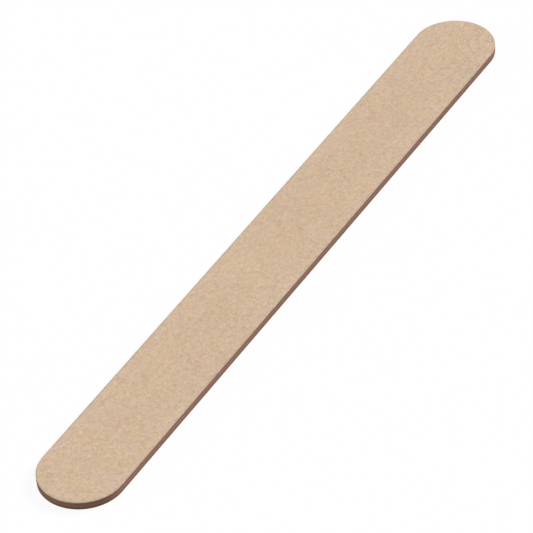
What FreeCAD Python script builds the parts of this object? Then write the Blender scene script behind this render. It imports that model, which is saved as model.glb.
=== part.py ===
"""Full-size emery board: a strip of brown fibreboard with abrasive paper glued to both faces.

The laminate is pressed as a sheet and die-cut, so every layer has the same outline and ends flush at the
cut wall. The cutting rule drags the faces over a little at the rim, more on the side that it enters.

Millimetres. X runs along the board, Y across it and Z up, out of the fine face. The origin is the middle of
the coarse face, on which the board lies.
"""

import FreeCAD
import Part
import math
import os

# Outline of the board
BOARD_LENGTH = 178.0  # end to end, a nominal 7 in
BOARD_WIDTH = 19.0  # side to side, a nominal 3/4 in, and the diameter of the half-round ends

# Thickness of each layer, from the core outwards
CORE_THICKNESS = 1.30
GLUE_THICKNESS = 0.04
PAPER_THICKNESS = 0.15
FINE_MAKE_COAT = 0.03  # resin that the grains are set in
FINE_GRAIN = 0.07  # mean height of the finer grains
FINE_SIZE_COAT = 0.02  # resin that locks the grains
COARSE_MAKE_COAT = 0.04
COARSE_GRAIN = 0.12
COARSE_SIZE_COAT = 0.03

# Rim that the cutting rule leaves
RIM_WIDTH = 0.30  # how far in from the cut wall the faces start to bend
FINE_RIM_DROP = 0.06  # how far the fine face is pressed down at the wall, where the rule enters
COARSE_RIM_LIFT = 0.03  # how far the coarse face is pressed up at the wall, where the rule leaves

# Layers of each face, from the core outwards
FINE_LAYERS = [
    ("fine_glue_film", GLUE_THICKNESS),
    ("fine_backing_paper", PAPER_THICKNESS),
    ("fine_make_coat", FINE_MAKE_COAT),
    ("fine_grain_layer", FINE_GRAIN),
    ("fine_size_coat", FINE_SIZE_COAT),
]
COARSE_LAYERS = [
    ("coarse_glue_film", GLUE_THICKNESS),
    ("coarse_backing_paper", PAPER_THICKNESS),
    ("coarse_make_coat", COARSE_MAKE_COAT),
    ("coarse_grain_layer", COARSE_GRAIN),
    ("coarse_size_coat", COARSE_SIZE_COAT),
]

END_RADIUS = BOARD_WIDTH / 2
END_CENTRE_X = BOARD_LENGTH / 2 - END_RADIUS
CORE_BOTTOM = sum(thickness for _, thickness in COARSE_LAYERS)
CORE_TOP = CORE_BOTTOM + CORE_THICKNESS
UP = FreeCAD.Vector(0, 0, 1)
ACROSS = FreeCAD.Vector(0, 1, 0)


def section_point(across, height):
    """A point of the board's cross-section, in the plane where the straight run meets the +X end."""
    return FreeCAD.Vector(END_CENTRE_X, across, height)


def face_line(height, bend):
    """One face of a layer in section, from the middle of the board to the cut wall.

    It is flat up to the rim, and then an arc that leaves the flat tangent and ends bend higher at the wall.
    """
    rim_start = END_RADIUS - RIM_WIDTH
    arc_radius = (RIM_WIDTH**2 + bend**2) / (2 * abs(bend))
    half_angle = math.asin(RIM_WIDTH / arc_radius) / 2
    middle_rise = math.copysign(arc_radius * (1 - math.cos(half_angle)), bend)
    middle = section_point(rim_start + arc_radius * math.sin(half_angle), height + middle_rise)
    rim = section_point(rim_start, height)
    wall = section_point(END_RADIUS, height + bend)
    flat = Part.LineSegment(section_point(0, height), rim)
    return [flat.toShape(), Part.Arc(rim, middle, wall).toShape()]


def half_section(bottom, bottom_bend, top, top_bend):
    """The half of a layer's cross-section on the +Y side, as a face."""
    wall = Part.LineSegment(
        section_point(END_RADIUS, bottom + bottom_bend), section_point(END_RADIUS, top + top_bend)
    )
    middle = Part.LineSegment(section_point(0, top), section_point(0, bottom))
    edges = face_line(bottom, bottom_bend) + [wall.toShape()] + face_line(top, top_bend) + [middle.toShape()]
    return Part.Face(Part.Wire(Part.__sortEdges__(edges)))


def layer(bottom, bottom_bend, top, top_bend):
    """One layer of the board: its section run along the sides and turned half way round each end."""
    section = half_section(bottom, bottom_bend, top, top_bend)
    side = section.extrude(FreeCAD.Vector(-2 * END_CENTRE_X, 0, 0))
    end = section.revolve(section_point(0, 0), UP, -180)
    middle_of_board = FreeCAD.Vector(0, 0, 0)
    pieces = [side.mirror(middle_of_board, ACROSS), end, end.mirror(middle_of_board, FreeCAD.Vector(1, 0, 0))]
    return side.fuse(pieces).removeSplitter()


def fine_layers():
    """The layers above the core. They keep their thickness over the rim, so all bend alike."""
    shapes = {}
    bottom = CORE_TOP
    for name, thickness in FINE_LAYERS:
        shapes[name] = layer(bottom, -FINE_RIM_DROP, bottom + thickness, -FINE_RIM_DROP)
        bottom += thickness
    return shapes


def coarse_layers():
    """The layers below the core, from the core downwards."""
    shapes = {}
    top = CORE_BOTTOM
    for name, thickness in COARSE_LAYERS:
        shapes[name] = layer(top - thickness, COARSE_RIM_LIFT, top, COARSE_RIM_LIFT)
        top -= thickness
    return shapes


def core_board():
    """The fibreboard strip that carries both papers."""
    return {"core_board": layer(CORE_BOTTOM, COARSE_RIM_LIFT, CORE_TOP, -FINE_RIM_DROP)}


def main():
    os.makedirs("parts", exist_ok=True)
    for name, shape in {**coarse_layers(), **core_board(), **fine_layers()}.items():
        box = shape.optimalBoundingBox()
        print(
            f"{name:22s} valid {shape.isValid()}  solids {len(shape.Solids)}  faces {len(shape.Faces)}"
            f"  volume {shape.Volume:8.2f}  z {box.ZMin:.3f} to {box.ZMax:.3f}"
        )
        shape.exportStep(f"parts/{name}.step")


main()
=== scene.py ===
import math
from collections import namedtuple

import bpy
import numpy as np
from mathutils import Matrix, Vector

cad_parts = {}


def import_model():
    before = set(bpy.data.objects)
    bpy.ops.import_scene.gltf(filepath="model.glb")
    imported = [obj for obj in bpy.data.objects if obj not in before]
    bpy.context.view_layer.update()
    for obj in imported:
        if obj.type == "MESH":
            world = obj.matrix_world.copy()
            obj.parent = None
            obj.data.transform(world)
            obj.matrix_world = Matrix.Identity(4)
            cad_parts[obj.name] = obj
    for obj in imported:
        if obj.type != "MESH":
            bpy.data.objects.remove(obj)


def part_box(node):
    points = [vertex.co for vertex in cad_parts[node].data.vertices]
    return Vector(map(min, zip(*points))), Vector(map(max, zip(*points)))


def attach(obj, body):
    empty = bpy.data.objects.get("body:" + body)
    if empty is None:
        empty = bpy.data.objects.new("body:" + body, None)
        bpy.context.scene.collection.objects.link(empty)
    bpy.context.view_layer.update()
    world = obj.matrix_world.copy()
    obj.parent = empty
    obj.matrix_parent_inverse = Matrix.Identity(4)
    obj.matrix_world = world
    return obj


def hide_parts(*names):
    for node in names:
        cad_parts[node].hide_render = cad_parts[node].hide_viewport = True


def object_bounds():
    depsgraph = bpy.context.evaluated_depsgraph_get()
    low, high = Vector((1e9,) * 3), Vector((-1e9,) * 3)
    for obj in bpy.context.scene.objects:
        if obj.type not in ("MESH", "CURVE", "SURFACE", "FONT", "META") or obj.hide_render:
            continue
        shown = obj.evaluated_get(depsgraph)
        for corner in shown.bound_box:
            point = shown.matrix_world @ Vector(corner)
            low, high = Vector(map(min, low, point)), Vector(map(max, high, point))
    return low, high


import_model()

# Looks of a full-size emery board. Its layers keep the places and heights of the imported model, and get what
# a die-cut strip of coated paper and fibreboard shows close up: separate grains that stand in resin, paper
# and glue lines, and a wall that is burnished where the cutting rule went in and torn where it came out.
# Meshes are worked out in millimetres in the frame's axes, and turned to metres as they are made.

MM = 0.001
cad_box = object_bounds()


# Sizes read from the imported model, in millimetres

def low_z(node):
    """The height of a node's lowest point."""
    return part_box(node)[0].z / MM


def high_z(node):
    """The height of a node's highest point."""
    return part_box(node)[1].z / MM


LENGTH = (cad_box[1].x - cad_box[0].x) / MM
RADIUS = (cad_box[1].y - cad_box[0].y) / MM / 2
RUN = LENGTH / 2 - RADIUS  # from the middle of the board to the centre of an end
HALF_WAY = 2 * RUN + math.pi * RADIUS  # along one side, from tip to tip
FINE_DROP = high_z("core_board") - low_z("fine_glue_film")  # how far the upper face bends down at the wall
COARSE_LIFT = high_z("coarse_glue_film") - low_z("core_board")  # how far the lower face bends up there

# Grit, in millimetres and shares
FINE_SPACING = 0.29  # from grain to grain
FINE_RADIUS = 0.16
COARSE_SPACING = 0.42
COARSE_RADIUS = 0.26
PLACE_STRAY = 0.42  # how far a grain strays from its place in the rows, in spacings
BARE_SHARE = 0.04  # of the places for a grain
GRAIN_SIZES = (0.75, 1.25)  # smallest and largest, as shares of their radius
WALL_ROOM = 0.3  # that a grain's middle keeps from the wall, as a share of its size
KNOCKS = 0.35  # how far a grain's corners stray from a regular shard's, as a share of its size
SQUASH = 0.34  # share of its height that a grain keeps, because it settles on its flatter side
GRAIN_TOPS = (-0.5, 0.1)  # lowest and highest top from the face, in mean grain heights

# Resin skins, in millimetres and shares
SKIN_DEPTH = 0.7  # from the face down to the resin, in mean grain heights
SKIN_WAVE = 0.6  # across a swell of the resin
FINE_SWELL = 0.012  # height of a swell
COARSE_SWELL = 0.02
RIM_SWELL = 0.2  # share of that height that is left at the wall

# Tears in the cut wall, in millimetres
TEAR_RUN = 1.1
TEAR_HEIGHT = 0.22
BURNISHED_TEAR = 0.006  # depth near the face where the cutting rule went in
TORN_TEAR = 0.022  # depth near the other face
THIN_TEAR = 0.012  # depth in the thin layers

# Bands of a face along the wall, in millimetres in from it
RIM_WIDTH = 0.30  # bent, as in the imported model
DARKEST_RIM_SHADE = 0.08  # where the painted shade of the bent rim is darkest
RIM_SHADE_END = 0.5  # where the painted shade and sheen of the bent rim end
WORN = 6.0  # worn by handling

# Meshes, in millimetres
WALL_STEP = 0.20  # between columns of the core's wall
WALL_ROWS = 13
LAYER_STEP = 0.50  # between columns of the thin layers
SKIN_STEP = 0.23  # between points of the resin skins
SKIN_STRAY = 0.3  # how far these points stray, as a share of the room that they have
RIM_STATIONS = [RIM_WIDTH * share for share in (0.0, 0.12, 0.3, 0.52, 0.76, 1.0)]  # in from the wall

# Random draws
NOISE_POINTS = 64  # each way in the lattice of a noise, which then repeats
NOISE_OCTAVES = 2
FINE_SEED = 31  # of the first piece of the fine side; the next pieces count on from it
COARSE_SEED = 41
CORE_SEED = 51

# Places in the textures that the patterns are baked to, as shares of a texture
STRIPS = 8  # lengths that a wall is cut in
STRIP_WIDTH = 0.99
STRIP_ROWS = (0.05, 0.95)  # lowest and highest row of points in a strip, as shares of its height
FOLDS = 3  # lengths that a face is cut in
FOLD_MARGIN = 0.5  # round each of them, in millimetres
WALL_MARGIN = 0.45  # what a skin's wall takes up of this margin
HIDDEN_FROM = 0.97  # the top of a texture is left to faces inside the laminate
HIDDEN_ROWS = (0.1, 0.6)  # where a lower and an upper face start, as shares of that strip
HIDDEN_HEIGHT = 0.3

# Patterns of the materials, in millimetres and shares
PATCH_SHIFT = 61  # keeps one kind of patches off another
FIBRE_RUN = 1.6  # length of a fibre that shows along the wall
FIBRE_END = 0.16  # width of one that is cut across
FIBRE_THICKNESS = 0.10
PATTERN_RANGE = (0.3, 0.7)  # most values of a noise texture lie in it
MATT = 0.2  # how much light the surfaces mirror
MIX_FACTOR, MIX_FIRST, MIX_SECOND, MIX_RESULT = 0, 6, 7, 2  # sockets of a mix node for colours

# Lights and floor. Angles are in degrees, from -Y towards +X and above the floor
KEY_AZIMUTH = 60
KEY_HEIGHT = 33
KEY_SPREAD = 22  # across the lamp, as the board sees it
KEY_LEVEL = 1.10  # light on a face square to the lamp, where 1 shows a colour as written
FILL_AZIMUTH = -135
FILL_HEIGHT = 10
FILL_SPREAD = 60
FILL_LEVEL = 0.34
DOME_LEVEL = 0.35
DOME_COLOUR = (1.0, 0.985, 1.07)  # a little cooler than the lamp, in linear values
WHITE = (1.0, 1.0, 1.0)
FLOOR_SIDE = 3.0  # metres
FLOOR_BOUNCE = 0.5  # share of the light that the floor sends back to the board
FLOOR_WHITE = 0.95  # the floor's own colour, as the camera sees it
FLOOR_GLOW = 0.93  # share of the floor's look that shadows don't darken

# Camera, from the photograph's outline of the board, in degrees and millimetres
VIEW_ELEVATION = 40.056
VIEW_AZIMUTH = -56.342
VIEW_ROLL = 4.899
VIEW_DISTANCE = 787.22
VIEW_TARGET = (-5.865, 0.072, 0.0)
VIEW_LENS = 246.23
SENSOR_WIDTH = 36
NEAREST_SEEN = 10
FARTHEST_SEEN = 10000

Piece = namedtuple("Piece", "name node slot material seed")

# Look of a mottled face. swings are wavelengths with the shares by which red, green and blue swing, and
# edge has the tints at the wall and at the inner ends of the darkest band and the rest of a painted shade and
# sheen of the bent rim, darker and cooler towards the wall, and of the band worn by handling.
Look = namedtuple("Look", "swings edge")


# Shape of the board

def outline(step):
    """Points round the board and their outward normals, from the -X tip along the -Y side and back."""
    half_count = int(round(HALF_WAY / step))
    s = np.arange(half_count + 1) * HALF_WAY / half_count
    quarter = math.pi * RADIUS / 2
    near = np.clip(s, 0, quarter) / RADIUS
    far = np.clip(s - quarter - 2 * RUN, 0, quarter) / RADIUS
    angle = near + far  # of the normal, from -X
    normal = np.c_[-np.cos(angle), -np.sin(angle)]
    centre_x = -RUN + np.clip(s - quarter, 0, 2 * RUN)
    points = np.c_[centre_x, np.zeros(len(s))] + RADIUS * normal
    mirror = [1, -1]
    points = np.vstack([points, points[-2:0:-1] * mirror])
    normal = np.vstack([normal, normal[-2:0:-1] * mirror])
    return points, normal


def wall_distance(x, y):
    """How far points lie in from the wall."""
    return RADIUS - np.hypot(np.maximum(np.abs(x) - RUN, 0), y)


def cut_flush(x, y):
    """Points moved back to the wall if they lie outside it."""
    spine = np.clip(x, -RUN, RUN)
    share = RADIUS / np.maximum(np.hypot(x - spine, y), RADIUS)
    return spine + (x - spine) * share, y * share


def rim_bend(distance, bend):
    """How far a face is bent at a distance in from the wall: an arc that leaves the flat tangent."""
    radius = (RIM_WIDTH**2 + bend**2) / (2 * abs(bend))
    reach = np.clip(RIM_WIDTH - distance, 0, RIM_WIDTH)
    return np.sign(bend) * (radius - np.sqrt(radius**2 - reach**2))


def lattice_steps(values):
    """The lattice points before values, the ones after, and how far on values are, eased at both ends."""
    before = np.floor(values).astype(int)
    on = values - before
    return before % NOISE_POINTS, (before + 1) % NOISE_POINTS, on * on * (3 - 2 * on)


def smooth_noise(x, y, seed):
    """Value noise of about unit height and wavelength, smooth between the points of a square lattice."""
    total = np.zeros(x.shape)
    for octave in range(NOISE_OCTAVES):
        table = np.random.default_rng(seed + octave).uniform(-1, 1, (NOISE_POINTS, NOISE_POINTS))
        left, right, a = lattice_steps(x * 2**octave)
        below, above, b = lattice_steps(y * 2**octave)
        low = table[left, below] * (1 - a) + table[right, below] * a
        high = table[left, above] * (1 - a) + table[right, above] * a
        total += (low * (1 - b) + high * b) / 2**octave
    return total


def inset(points):
    """0 at the wall and 1 past the rim with its painted shade and sheen and its wear, for points of a face.
    """
    return np.clip(wall_distance(points[:, 0], points[:, 1]) / WORN, 0, 1)


# Mesh helpers

def make_piece(piece, points, faces, places, smooth=False, **values):
    """The mesh of a piece, which stands for its node. Points are in millimetres.

    faces is a list of index arrays, and places a list of as many arrays with the texture places of their
    corners. values are numbers that the material reads at each point.
    """
    mesh = bpy.data.meshes.new(piece.name)
    corners = np.concatenate([f.ravel() for f in faces]).astype(np.int32)
    counts = np.concatenate([np.full(len(f), f.shape[1]) for f in faces]).astype(np.int32)
    mesh.vertices.add(len(points))
    mesh.vertices.foreach_set("co", (points * MM).astype(np.float32).ravel())
    mesh.loops.add(len(corners))
    mesh.loops.foreach_set("vertex_index", corners)
    mesh.polygons.add(len(counts))
    mesh.polygons.foreach_set("loop_start", np.cumsum(counts) - counts)
    mesh.polygons.foreach_set("use_smooth", np.full(len(counts), smooth))
    for key, numbers in values.items():
        mesh.attributes.new(key, "FLOAT", "POINT").data.foreach_set("value", numbers.astype(np.float32))
    texture_map = mesh.uv_layers.new(name="OFBake")
    texture_map.data.foreach_set("uv", np.concatenate([p.ravel() for p in places]).astype(np.float32))
    mesh.update(calc_edges=True)
    mesh.validate()
    mesh.materials.append(piece.material)
    made = bpy.data.objects.new(piece.name, mesh)
    bpy.context.scene.collection.objects.link(made)
    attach(made, "root")
    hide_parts(piece.node)


def ring_faces(rings, count):
    """Quads between each ring of points and the next, for rings of count points laid one after another."""
    i = np.arange(count)
    j = (i + 1) % count
    k = np.arange(rings - 1)[:, None] * count
    return np.stack([k + i, k + j, k + count + j, k + count + i], 2).reshape(-1, 4)


def ring_places(rings, count):
    """Texture places of ring_faces: the wall cut in lengths that lie one above another."""
    way = np.arange(count) * STRIPS / count
    strip = np.floor(way)
    row = np.linspace(*STRIP_ROWS, rings)[:, None]
    low = HIDDEN_FROM * (strip + row[:-1]) / STRIPS
    high = HIDDEN_FROM * (strip + row[1:]) / STRIPS
    left = np.broadcast_to(STRIP_WIDTH * (way - strip), low.shape)
    right = left + STRIP_WIDTH * STRIPS / count
    u = np.stack([left, right, right, left], 2)
    v = np.stack([low, low, high, high], 2)
    return np.stack([u, v], 3).reshape(-1, 4, 2)


def cap_faces(first, count, upward):
    """Strips across the board that close a ring of count points, which starts at index first."""
    half = count // 2
    i = np.arange(1, half - 1)
    quads = np.stack([i, i + 1, count - i - 1, count - i], 1)
    tips = np.array([[0, 1, count - 1], [half, half + 1, half - 1]])
    if not upward:
        quads = quads[:, ::-1]
        tips = tips[:, ::-1]
    return [quads + first, tips + first]


def column_faces(first, count, columns, inside):
    """Quads between columns of points that lie within a ring, and fans that close them at the tips.

    The ring has count points and starts at index first. Each column has inside points of its own, which
    follow the ring's, and a point of the ring at both ends.
    """
    half = count // 2
    i = np.arange(1, half)
    own = first + count + np.arange(columns * inside).reshape(columns, inside)
    grid = np.c_[first + i, own, first + count - i]
    quads = np.stack([grid[:-1, :-1], grid[1:, :-1], grid[1:, 1:], grid[:-1, 1:]], 2).reshape(-1, 4)
    tip = np.full(inside + 1, first)
    near_fan = np.stack([tip, grid[0, :-1], grid[0, 1:]], 1)
    far_fan = np.stack([tip + half, grid[-1, 1:], grid[-1, :-1]], 1)
    return [quads, near_fan, far_fan]


def hidden_places(points, faces, upper):
    """Texture places of faces inside the laminate: a flat plan view in the strip that is left to them."""
    u = points[:, 0] / LENGTH + 0.5
    row = HIDDEN_ROWS[upper] + HIDDEN_HEIGHT * (points[:, 1] / RADIUS / 2 + 0.5)
    plan = np.c_[u, HIDDEN_FROM + (1 - HIDDEN_FROM) * row]
    return [plan[f] for f in faces]


def plan_places(plan):
    """Texture places of faces seen from above, from the plan positions of their corners.

    The board is cut in lengths that lie one above another, and a face goes with the length that its middle
    is in.
    """
    run = LENGTH / FOLDS
    middle = plan[..., 0].mean(1, keepdims=True)
    fold = np.clip(np.floor((middle + LENGTH / 2) / run), 0, FOLDS - 1)
    tall = 2 * (RADIUS + FOLD_MARGIN)
    u = (plan[..., 0] + LENGTH / 2 - fold * run + FOLD_MARGIN) / (run + 2 * FOLD_MARGIN)
    v = (plan[..., 1] + tall / 2 + fold * tall) / (FOLDS * tall)
    return np.stack([u, HIDDEN_FROM * v], 2)


# Material helpers

def linear(colour):
    """A colour written as 0 to 255, as it looks on a screen, in the linear values that shaders take."""
    c = np.array(colour) / 255
    return tuple(np.where(c <= 0.04045, c / 12.92, ((c + 0.055) / 1.055) ** 2.4))


class Nodes:
    """A material's nodes, wired by short calls."""

    def __init__(self, name):
        self.material = bpy.data.materials.new(name)
        self.material.use_nodes = True
        self.tree = self.material.node_tree
        self.tree.nodes.clear()
        self.shader = self.tree.nodes.new("ShaderNodeBsdfPrincipled")
        self.shader.inputs["Specular IOR Level"].default_value = MATT
        out = self.tree.nodes.new("ShaderNodeOutputMaterial")
        self.link(self.shader.outputs["BSDF"], out.inputs["Surface"])

    def link(self, output, socket):
        self.tree.links.new(output, socket)

    def surface(self, colour, roughness, normal):
        """The material, with these outputs as its looks."""
        self.link(colour, self.shader.inputs["Base Color"])
        self.link(roughness, self.shader.inputs["Roughness"])
        self.link(normal, self.shader.inputs["Normal"])
        return self.material

    def add(self, kind, **inputs):
        """A node with values or outputs of other nodes at its inputs."""
        node = self.tree.nodes.new(kind)
        for name, value in inputs.items():
            if isinstance(value, bpy.types.NodeSocket):
                self.link(value, node.inputs[name])
            else:
                node.inputs[name].default_value = value
        return node

    def coordinates(self, stretch=(1, 1, 1), shift=0):
        """Places in the frame, in millimetres, divided by a stretch along each axis and shifted along X."""
        place = self.add("ShaderNodeTexCoord").outputs["Object"]
        scale = [1 / MM / s for s in stretch]
        mapping = self.add("ShaderNodeMapping", Vector=place, Location=(shift, 0, 0), Scale=scale)
        return mapping.outputs["Vector"]

    def height(self, low, high):
        """0 at one height of the frame and 1 at another, in millimetres."""
        parts = self.add("ShaderNodeSeparateXYZ", Vector=self.coordinates())
        return self.spread(parts.outputs["Z"], (low, high), (0, 1))

    def noise(self, place, wavelength, detail=2.0, roughness=0.5):
        node = self.add(
            "ShaderNodeTexNoise", Vector=place, Scale=1 / wavelength, Detail=detail, Roughness=roughness
        )
        return node.outputs["Fac"]

    def ramp(self, value, stops):
        """A colour by a value from 0 to 1. Each stop is a place on that way and the colour there."""
        node = self.add("ShaderNodeValToRGB", Fac=value)
        elements = node.color_ramp.elements
        while len(elements) < len(stops):
            elements.new(0.5)
        for element, (place, colour) in zip(elements, stops):
            element.position = place
            element.color = (*linear(colour), 1)
        return node.outputs["Color"]

    def mix(self, factor, first, second, blend="MIX"):
        """A mix of two colours. Each is an output, or a tuple of linear values."""
        node = self.add("ShaderNodeMix")
        node.data_type = "RGBA"
        node.blend_type = blend
        for value, number in ((factor, MIX_FACTOR), (first, MIX_FIRST), (second, MIX_SECOND)):
            socket = node.inputs[number]
            if isinstance(value, bpy.types.NodeSocket):
                self.link(value, socket)
            elif isinstance(value, tuple):
                socket.default_value = (*value, 1)
            else:
                socket.default_value = value
        return node.outputs[MIX_RESULT]

    def times(self, colour, factors):
        return self.mix(1.0, colour, factors, "MULTIPLY")

    def spread(self, value, old_range, new_range):
        """A value taken from one range to another, and kept within it."""
        node = self.add("ShaderNodeMapRange", Value=value)
        names = ("From Min", "From Max", "To Min", "To Max")
        for name, number in zip(names, (*old_range, *new_range)):
            node.inputs[name].default_value = number
        return node.outputs["Result"]

    def vary(self, pattern, low, high):
        """A number that goes from low to high with a pattern."""
        return self.spread(pattern, PATTERN_RANGE, (low, high))

    def bump(self, height, depth, strength):
        """A normal from a height of 0 to 1, depth millimetres deep."""
        node = self.add("ShaderNodeBump", Height=height, Strength=strength, Distance=depth * MM)
        return node.outputs["Normal"]

    def attribute(self, name):
        node = self.add("ShaderNodeAttribute")
        node.attribute_name = name
        return node.outputs["Fac"]

    def swing(self, pattern, shares):
        """Factors for a colour's channels, which swing by shares with a pattern.

        They are 1 less a share where the pattern is low, and 1 more where it is high.
        """
        lowest = tuple(1 - share for share in shares)
        highest = tuple(1 + share for share in shares)
        return self.mix(self.vary(pattern, 0, 1), lowest, highest)

    def mottled(self, colour, look):
        """A colour that swings from patch to patch, and is tinted towards the rim: painted shade and sheen of
        the bent rim near the wall, and faint wear further in.
        """
        for number, (wavelength, shares) in enumerate(look.swings):
            place = self.coordinates(shift=number * PATCH_SHIFT)
            patches = self.noise(place, wavelength, detail=3.0, roughness=0.8)
            colour = self.times(colour, self.swing(patches, shares))
        # darker and cooler towards the wall: painted shade and sheen of the bent rim, then faint wear
        bands = (0, DARKEST_RIM_SHADE / WORN, RIM_SHADE_END / WORN, 1)
        return self.times(colour, self.ramp(self.attribute("inset"), list(zip(bands, look.edge))))


# Materials

def grit_material(name, stops, look, roughness):
    """Mineral grains. Each has a colour of its own, by its tone from 0 to 1, and the face is mottled."""
    m = Nodes(name)
    place = m.coordinates()
    own = m.ramp(m.attribute("tone"), stops)
    rough = m.vary(m.noise(place, wavelength=0.5), roughness - 0.1, roughness + 0.1)
    facets = m.bump(m.noise(place, wavelength=0.06), depth=0.01, strength=0.4)
    return m.surface(m.mottled(own, look), rough, facets)


def resin_material(name, usual, deep, look, roughness):
    """Resin round and under the grains, deeper in colour where it has pooled, and sandy with fine dust."""
    m = Nodes(name)
    place = m.coordinates()
    pooled = m.spread(m.noise(place, wavelength=0.7), (0.35, 0.65), (0, 1))
    dust = m.noise(place, wavelength=0.11, roughness=0.7)
    dusty = m.times(m.mix(pooled, linear(usual), linear(deep)), m.vary(dust, 0.9, 1.1))
    rough = m.vary(m.noise(place, wavelength=0.3), roughness - 0.1, roughness + 0.1)
    return m.surface(m.mottled(dusty, look), rough, m.bump(dust, depth=0.04, strength=0.8))


def fibre_material(name, low, high, stops, roughness):
    """Cut edge of paper or board between two heights. stops give its colours from the lower to the upper.

    Fibres that lie flat show as short streaks along the wall, and as specks where they are cut across.
    """
    m = Nodes(name)
    along = m.coordinates((FIBRE_RUN, FIBRE_RUN, FIBRE_THICKNESS))
    across = m.coordinates((FIBRE_END, FIBRE_END, FIBRE_THICKNESS))
    streaks = m.noise(along, wavelength=1.0, detail=3.0, roughness=0.6)
    ends = m.noise(across, wavelength=1.0)
    colour = m.ramp(m.height(low, high), stops)
    streaked = m.times(colour, m.spread(streaks, (0.25, 0.75), (0.72, 1.28)))
    speckled = m.times(streaked, m.vary(ends, 0.88, 1.1))
    rough = m.vary(streaks, roughness - 0.08, roughness + 0.08)
    return m.surface(speckled, rough, m.bump(ends, depth=0.03, strength=0.5))


def glue_material(name, colour):
    """Cut edge of a glue film, of one colour at all heights."""
    return fibre_material(name, 0, 1, ((0.0, colour), (1.0, colour)), roughness=0.55)


def tan_materials():
    """Materials of the upper face and its paper, by their slots."""
    look = Look(
        swings=(
            (1.1, (0.076, 0.114, 0.178)),  # lighter and darker
            (1.4, (0.032, 0.037, -0.067)),  # warmer and cooler
            (1.4, (0.029, -0.029, 0.0)),  # redder and greener
            (30.0, (0.024, 0.030, 0.036)),  # from one stretch of the board to another
        ),
        # tints of the rim, darker and cooler towards the wall: painted shade and sheen of the bent rim, then
        # faint wear
        edge=((206, 205, 211), (236, 241, 247), (255, 255, 255), (254, 253, 250)),
    )
    paper_stops = ((0.0, (140, 111, 94)), (0.5, (150, 124, 107)), (1.0, (164, 140, 122)))
    grit_stops = (
        (0.0, (184, 159, 131)),
        (0.04, (207, 180, 150)),
        (0.09, (211, 186, 156)),
        (1.0, (219, 195, 169)),
    )
    low = low_z("fine_backing_paper")  # of the paper's cut edge
    high = high_z("fine_backing_paper") - FINE_DROP
    return {
        "glue": glue_material("dried_glue", (120, 94, 78)),
        "fine_paper": fibre_material("tan_paper_edge", low, high, paper_stops, roughness=0.8),
        "fine_resin": resin_material("tan_resin", (214, 189, 161), (208, 182, 153), look, roughness=0.7),
        "fine_grit": grit_material("tan_grit", grit_stops, look, roughness=0.7),
    }


def brown_materials():
    """Materials of the lower face and its paper, by their slots."""
    look = Look(
        swings=(
            (2.4, (0.10, 0.10, 0.11)),  # lighter and darker
            (2.4, (0.03, 0.03, -0.06)),  # warmer and cooler
            (2.4, (0.03, -0.03, 0.0)),  # redder and greener
            (24.0, (0.02, 0.02, 0.02)),  # from one stretch of the board to another
        ),
        # tints of the rim, darker and cooler towards the wall: painted shade and sheen of the bent rim, then
        # faint wear
        edge=((236, 236, 240), (240, 240, 243), (250, 250, 252), (255, 255, 255)),
    )
    paper_stops = ((0.0, (130, 97, 80)), (1.0, (136, 102, 84)))
    grit_stops = (
        (0.0, (84, 60, 50)),
        (0.08, (120, 88, 72)),
        (0.5, (134, 100, 83)),
        (0.9, (142, 110, 92)),
        (1.0, (166, 134, 114)),
    )
    low = low_z("coarse_backing_paper") + COARSE_LIFT  # of the paper's cut edge
    high = high_z("coarse_backing_paper")
    return {
        "glue": glue_material("lower_dried_glue", (116, 86, 70)),
        "coarse_paper": fibre_material("brown_paper_edge", low, high, paper_stops, roughness=0.8),
        "coarse_resin": resin_material("brown_resin", (122, 90, 74), (106, 76, 62), look, roughness=0.6),
        "coarse_grit": grit_material("brown_grit", grit_stops, look, roughness=0.55),
    }


# Layers

def face_ring(points, normal, distance, height, bend):
    """A ring of points on a face of a layer, at a distance in from the wall."""
    return np.c_[points - normal * distance, np.full(len(points), height + rim_bend(distance, bend))]


def wall_ring(points, normal, height, bend, tear, seed):
    """A ring of points on the cut wall. Tears run along the fibres, and are alike on both sides."""
    count = len(points)
    i = np.arange(count)
    way = np.minimum(i, count - i) * 2 * HALF_WAY / count
    depth = tear * smooth_noise(way / TEAR_RUN, np.full(count, height / TEAR_HEIGHT), seed)
    return np.c_[points + normal * depth[:, None], np.full(count, height + bend)]


def slab(piece, heights, bends, tears, step):
    """A layer with a cut wall. heights are the wall's rows in the middle of the board, from the lowest up.

    bends are how far the lowest and the highest row are bent at the wall, and rows between share the
    difference. tears are the depths of the tears in each row.
    """
    wall, normal = outline(step)
    count = len(wall)
    inward = RIM_STATIONS[1:]
    rows = [face_ring(wall, normal, distance, heights[0], bends[0]) for distance in inward[::-1]]
    for height, bend, tear in zip(heights, np.linspace(*bends, len(heights)), tears):
        rows.append(wall_ring(wall, normal, height, bend, tear, piece.seed))
    rows += [face_ring(wall, normal, distance, heights[-1], bends[1]) for distance in inward]
    points = np.vstack(rows)
    bottom = cap_faces(0, count, upward=False)
    top = cap_faces((len(rows) - 1) * count, count, upward=True)
    faces = [ring_faces(len(rows), count)] + bottom + top
    places = [ring_places(len(rows), count)]
    places += hidden_places(points, bottom, upper=False) + hidden_places(points, top, upper=True)
    make_piece(piece, points, faces, places)


def skin_columns(ring, seed):
    """Points in columns across a face, from the -Y side of a ring to the other, without the ring's own.

    They stray by a share of the room that they have, which is less towards the tips.
    """
    side = ring[1 : len(ring) // 2]
    half_width = np.abs(side[:, 1:])
    across = np.linspace(-1, 1, int(2 * RADIUS / SKIN_STEP))
    room_y = half_width * (across[1] - across[0])
    room_x = np.gradient(side[:, 0])[:, None] * np.minimum(1, room_y / SKIN_STEP)
    room_x[[0, -1]] = 0  # the columns next to the tips stay straight
    draw = np.random.default_rng(seed)
    stray = SKIN_STRAY * draw.uniform(-1, 1, (2, len(side), len(across) - 2))
    return side[:, :1] + stray[0] * room_x, half_width * across[1:-1] + stray[1] * room_y


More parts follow.
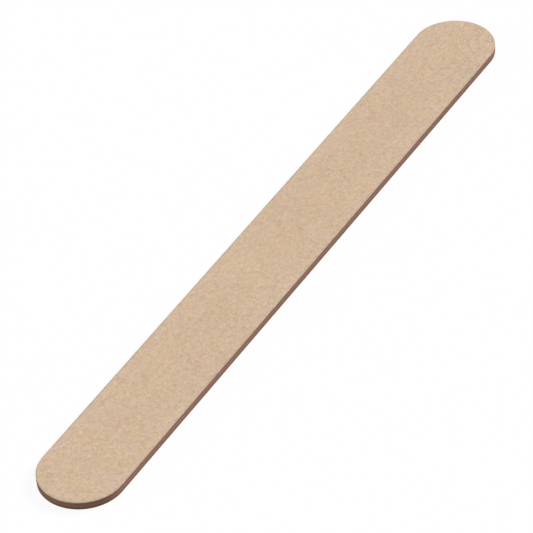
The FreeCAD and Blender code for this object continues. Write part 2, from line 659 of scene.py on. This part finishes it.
def skin(piece, outer, inner, bend, side, swell):
    """A resin skin with a gently uneven outer face. side is 1 for the upper face and -1 for the lower.

    It is made of rings of points under the rim, up the wall and over the rim, and of columns inside them.
    """
    wall, normal = outline(SKIN_STEP)
    count = len(wall)
    under = len(RIM_STATIONS)
    rings = [wall - normal * distance for distance in RIM_STATIONS[::-1] + RIM_STATIONS]
    x, y = skin_columns(rings[-1], piece.seed)
    plan = np.vstack(rings + [np.c_[x.ravel(), y.ravel()]])
    distance = np.maximum(wall_distance(plan[:, 0], plan[:, 1]), 0)
    waves = smooth_noise(plan[:, 0] / SKIN_WAVE, plan[:, 1] / SKIN_WAVE, piece.seed)
    z = outer + side * swell * waves * np.clip(distance / RIM_WIDTH, RIM_SWELL, 1)
    z[: under * count] = inner
    points = np.c_[plan, z + rim_bend(distance, bend)]
    foot = (under - 1) * count
    last = (len(rings) - 1) * count
    seen = [ring_faces(under + 1, count) + foot] + column_faces(last, count, *x.shape)
    hidden = [ring_faces(under, count)] + cap_faces(0, count, upward=False)
    faces = seen + hidden
    plan[foot : foot + count] += WALL_MARGIN * normal  # the upright wall is laid out in the margin
    places = [plan_places(plan[f]) for f in seen] + hidden_places(points, hidden, upper=False)
    if side < 0:
        faces = [f[:, ::-1] for f in faces]
        places = [p[:, ::-1] for p in places]
    make_piece(piece, points, faces, places, smooth=True, inset=inset(points))


def grain_places(spacing, radius, draw):
    """Middles and sizes of grains in close rows, each a little off its place, with some places bare."""
    row_step = spacing * math.sqrt(3) / 2
    rows = int(2 * RADIUS / row_step)
    columns = int(LENGTH / spacing)
    grid_x, grid_y = np.meshgrid(np.arange(columns) - (columns - 1) / 2, np.arange(rows) - (rows - 1) / 2)
    grid_x = grid_x + 0.5 * (np.arange(rows)[:, None] % 2)
    x = ((grid_x + draw.uniform(-PLACE_STRAY, PLACE_STRAY, grid_x.shape)) * spacing).ravel()
    y = grid_y.ravel() * row_step + draw.uniform(-PLACE_STRAY, PLACE_STRAY, grid_y.size) * spacing
    size = radius * draw.uniform(*GRAIN_SIZES, len(x))
    kept = (wall_distance(x, y) > WALL_ROOM * size) & (draw.random(len(x)) > BARE_SHARE)
    return x[kept], y[kept], size[kept]


def loose_shards(size, draw):
    """Corners of shards about their middles: regular ones, knocked about and turned any way up."""
    count = len(size)
    regular = np.array([[1, 1, 1], [1, -1, -1], [-1, 1, -1], [-1, -1, 1]]) / math.sqrt(3)
    knocked = regular + draw.uniform(-KNOCKS, KNOCKS, (count, 4, 3))
    turn = np.linalg.qr(draw.normal(size=(count, 3, 3)))[0]  # the axes that a random matrix factors into
    return np.einsum("nij,nkj->nki", turn, knocked) * size[:, None, None]


def shard_faces(shards):
    """Triangles of shards of four corners, all facing out."""
    upright = np.linalg.det(shards[:, 1:] - shards[:, :1]) > 0
    facets = np.array([[0, 2, 1], [0, 1, 3], [1, 2, 3], [2, 0, 3]])
    faces = np.where(upright[:, None, None], facets, facets[:, ::-1])
    return (faces + 4 * np.arange(len(shards))[:, None, None]).reshape(-1, 3)


def grains(piece, face, foot, bend, side, spacing, radius, height):
    """Separate crushed grains set in the resin: shards of four corners that lie any way up.

    Their tops scatter about the face, and none goes deeper than the foot.
    """
    draw = np.random.default_rng(piece.seed)
    middle_x, middle_y, size = grain_places(spacing, radius, draw)
    corners = loose_shards(size, draw)
    x, y = cut_flush(middle_x[:, None] + corners[..., 0], middle_y[:, None] + corners[..., 1])
    rise = corners[..., 2] * SQUASH
    rise += height * draw.uniform(*GRAIN_TOPS, (len(size), 1)) - rise.max(1, keepdims=True)
    rise = np.maximum(rise, -abs(face - foot))
    z = face + side * rise + rim_bend(np.maximum(wall_distance(x, y), 0), bend)
    shards = np.stack([x, y, z], 2)
    faces = shard_faces(shards)
    points = shards.reshape(-1, 3)
    tone = np.repeat(draw.random(len(size)), 4)
    places = [plan_places(points[faces][..., :2])]
    make_piece(piece, points, [faces], places, tone=tone, inset=inset(points))


# Pieces

def named_pieces(names, materials, first_seed):
    """Pieces from their names, nodes and slots, with the material of the slot and a seed for each."""
    return [
        Piece(name, node, slot, materials[slot], first_seed + number)
        for number, (name, node, slot) in enumerate(names)
    ]


def coated_side(pieces, side, bend, set_back, spacing, radius, swell):
    """One coated face, from the core outwards. side is 1 for the upper face and -1 for the lower.

    set_back is how far within the model the face lies that the grains' tops scatter about, in mean grain
    heights. spacing and radius are the grains', and swell is the resin skin's.
    """
    outer_z = high_z if side > 0 else low_z
    *layers, skin_piece, grain_piece = pieces
    inner = outer_z("core_board")
    for piece in layers:
        outer = outer_z(piece.node)
        slab(piece, sorted((inner, outer)), (bend, bend), (THIN_TEAR, THIN_TEAR), LAYER_STEP)
        inner = outer
    height = abs(outer_z(grain_piece.node) - inner)
    face = outer_z(skin_piece.node) - side * set_back * height
    skin(skin_piece, face - side * SKIN_DEPTH * height, inner, bend, side, swell)
    grains(grain_piece, face, inner, bend, side, spacing, radius, height)


def fine_side():
    """The tan upper face, from the core up."""
    names = (
        ("fine_glue_line", "fine_glue_film", "glue"),
        ("fine_paper_sheet", "fine_backing_paper", "fine_paper"),
        ("fine_resin_bed", "fine_make_coat", "fine_resin"),
        ("fine_resin_skin", "fine_size_coat", "fine_resin"),
        ("fine_grains", "fine_grain_layer", "fine_grit"),
    )
    pieces = named_pieces(names, tan_materials(), FINE_SEED)
    coated_side(
        pieces, side=1, bend=-FINE_DROP, set_back=0,
        spacing=FINE_SPACING, radius=FINE_RADIUS, swell=FINE_SWELL,
    )


def coarse_side():
    """The brown lower face, from the core down. It is set back, so that the board lies on its grains."""
    names = (
        ("coarse_glue_line", "coarse_glue_film", "glue"),
        ("coarse_paper_sheet", "coarse_backing_paper", "coarse_paper"),
        ("coarse_resin_bed", "coarse_make_coat", "coarse_resin"),
        ("coarse_resin_skin", "coarse_size_coat", "coarse_resin"),
        ("coarse_grains", "coarse_grain_layer", "coarse_grit"),
    )
    pieces = named_pieces(names, brown_materials(), COARSE_SEED)
    coated_side(
        pieces, side=-1, bend=COARSE_LIFT, set_back=GRAIN_TOPS[1],
        spacing=COARSE_SPACING, radius=COARSE_RADIUS, swell=COARSE_SWELL,
    )


def core():
    """The fibreboard strip, with a burnished upper and a torn lower wall."""
    low = low_z("core_board")
    high = high_z("core_board")
    # darker towards the bottom and the top of the wall, lighter in the middle
    stops = ((0.0, (136, 101, 81)), (0.35, (150, 111, 89)), (0.75, (148, 111, 90)), (1.0, (126, 95, 79)))
    fibre = fibre_material("brown_fibreboard", low + COARSE_LIFT, high - FINE_DROP, stops, roughness=0.85)
    piece = Piece("core_board_strip", "core_board", "core", fibre, CORE_SEED)
    heights = np.linspace(low, high, WALL_ROWS)
    tears = np.linspace(TORN_TEAR, BURNISHED_TEAR, WALL_ROWS)
    slab(piece, heights, (COARSE_LIFT, -FINE_DROP), tears, WALL_STEP)


# Stage

def direction(azimuth, elevation):
    """The way out from the board at two angles in degrees."""
    azimuth = math.radians(azimuth)
    elevation = math.radians(elevation)
    level = math.cos(elevation)
    return Vector((math.sin(azimuth) * level, -math.cos(azimuth) * level, math.sin(elevation)))


def coloured(tree, kind, colour):
    """A shader node of a colour, in linear values."""
    node = tree.nodes.new(kind)
    node.inputs["Color"].default_value = (*colour, 1)
    return node


def mixed(tree, first, second):
    """A mix of two shader nodes, which is all the first one's where its factor is 0."""
    mix = tree.nodes.new("ShaderNodeMixShader")
    tree.links.new(first.outputs[0], mix.inputs[1])
    tree.links.new(second.outputs[0], mix.inputs[2])
    return mix


def light_and_look(tree, light, look, kind):
    """An output node with one shader for the light on the board, and one for the look of the backdrop.

    Rays that look at the backdrop come from the camera, or by a reflection or glass.
    """
    path = tree.nodes.new("ShaderNodeLightPath")
    looking = path.outputs["Is Camera Ray"]
    for name in ("Is Glossy Ray", "Is Transmission Ray"):
        either = tree.nodes.new("ShaderNodeMath")
        either.operation = "MAXIMUM"
        tree.links.new(looking, either.inputs[0])
        tree.links.new(path.outputs[name], either.inputs[1])
        looking = either.outputs[0]
    mix = mixed(tree, light, look)
    tree.links.new(looking, mix.inputs[0])
    tree.links.new(mix.outputs[0], tree.nodes.new(kind).inputs["Surface"])


def world():
    """A dome that lights the board, and looks plain white."""
    studio = bpy.data.worlds.new("studio")
    bpy.context.scene.world = studio
    studio.use_nodes = True
    tree = studio.node_tree
    tree.nodes.clear()
    dome = coloured(tree, "ShaderNodeBackground", DOME_COLOUR)
    dome.inputs["Strength"].default_value = DOME_LEVEL
    white = coloured(tree, "ShaderNodeBackground", WHITE)
    light_and_look(tree, dome, white, "ShaderNodeOutputWorld")


def floor():
    """A wide floor that looks white, keeps a faint shadow and sends some light back to the board."""
    material = bpy.data.materials.new("white_floor")
    material.use_nodes = True
    tree = material.node_tree
    tree.nodes.clear()
    matt = coloured(tree, "ShaderNodeBsdfDiffuse", [FLOOR_BOUNCE] * 3)
    shaded = coloured(tree, "ShaderNodeBsdfDiffuse", [FLOOR_WHITE] * 3)
    look = mixed(tree, shaded, coloured(tree, "ShaderNodeEmission", WHITE))
    look.inputs[0].default_value = FLOOR_GLOW
    light_and_look(tree, matt, look, "ShaderNodeOutputMaterial")
    half = FLOOR_SIDE / 2
    corners = [(-half, -half, 0), (half, -half, 0), (half, half, 0), (-half, half, 0)]
    mesh = bpy.data.meshes.new("floor")
    mesh.from_pydata(corners, [], [(0, 1, 2, 3)])
    mesh.materials.append(material)
    plane = bpy.data.objects.new("floor", mesh)
    bpy.context.scene.collection.objects.link(plane)


def lamp(name, azimuth, height, spread, level):
    """A far, soft lamp. level is the light on a face square to it, where 1 shows a colour as written."""
    way = direction(azimuth, height)
    data = bpy.data.lights.new(name, "SUN")
    data.angle = math.radians(spread)
    data.energy = level * math.pi  # a white face sends back 1 / pi of the light that falls on it
    piece = bpy.data.objects.new(name, data)
    piece.matrix_world = Matrix.Translation(way) @ way.to_track_quat("Z", "Y").to_matrix().to_4x4()
    bpy.context.scene.collection.objects.link(piece)


def camera():
    """The photograph's view of the board."""
    back = direction(VIEW_AZIMUTH, VIEW_ELEVATION)
    right = Vector((0, 0, 1)).cross(back).normalized()
    up = back.cross(right)
    roll = math.radians(VIEW_ROLL)
    turned_right = math.cos(roll) * right - math.sin(roll) * up
    turned_up = math.sin(roll) * right + math.cos(roll) * up
    data = bpy.data.cameras.new("camera")
    data.sensor_width = SENSOR_WIDTH
    data.lens = VIEW_LENS
    data.clip_start = NEAREST_SEEN * MM
    data.clip_end = FARTHEST_SEEN * MM
    piece = bpy.data.objects.new("camera", data)
    axes = Matrix((turned_right, turned_up, back)).transposed().to_4x4()
    place = (Vector(VIEW_TARGET) + VIEW_DISTANCE * back) * MM
    piece.matrix_world = Matrix.Translation(place) @ axes
    bpy.context.scene.collection.objects.link(piece)
    bpy.context.scene.camera = piece


core()
fine_side()
coarse_side()
world()
floor()
lamp("key", KEY_AZIMUTH, KEY_HEIGHT, KEY_SPREAD, KEY_LEVEL)
lamp("fill", FILL_AZIMUTH, FILL_HEIGHT, FILL_SPREAD, FILL_LEVEL)
camera()
bpy.context.scene.view_settings.view_transform = "Standard"
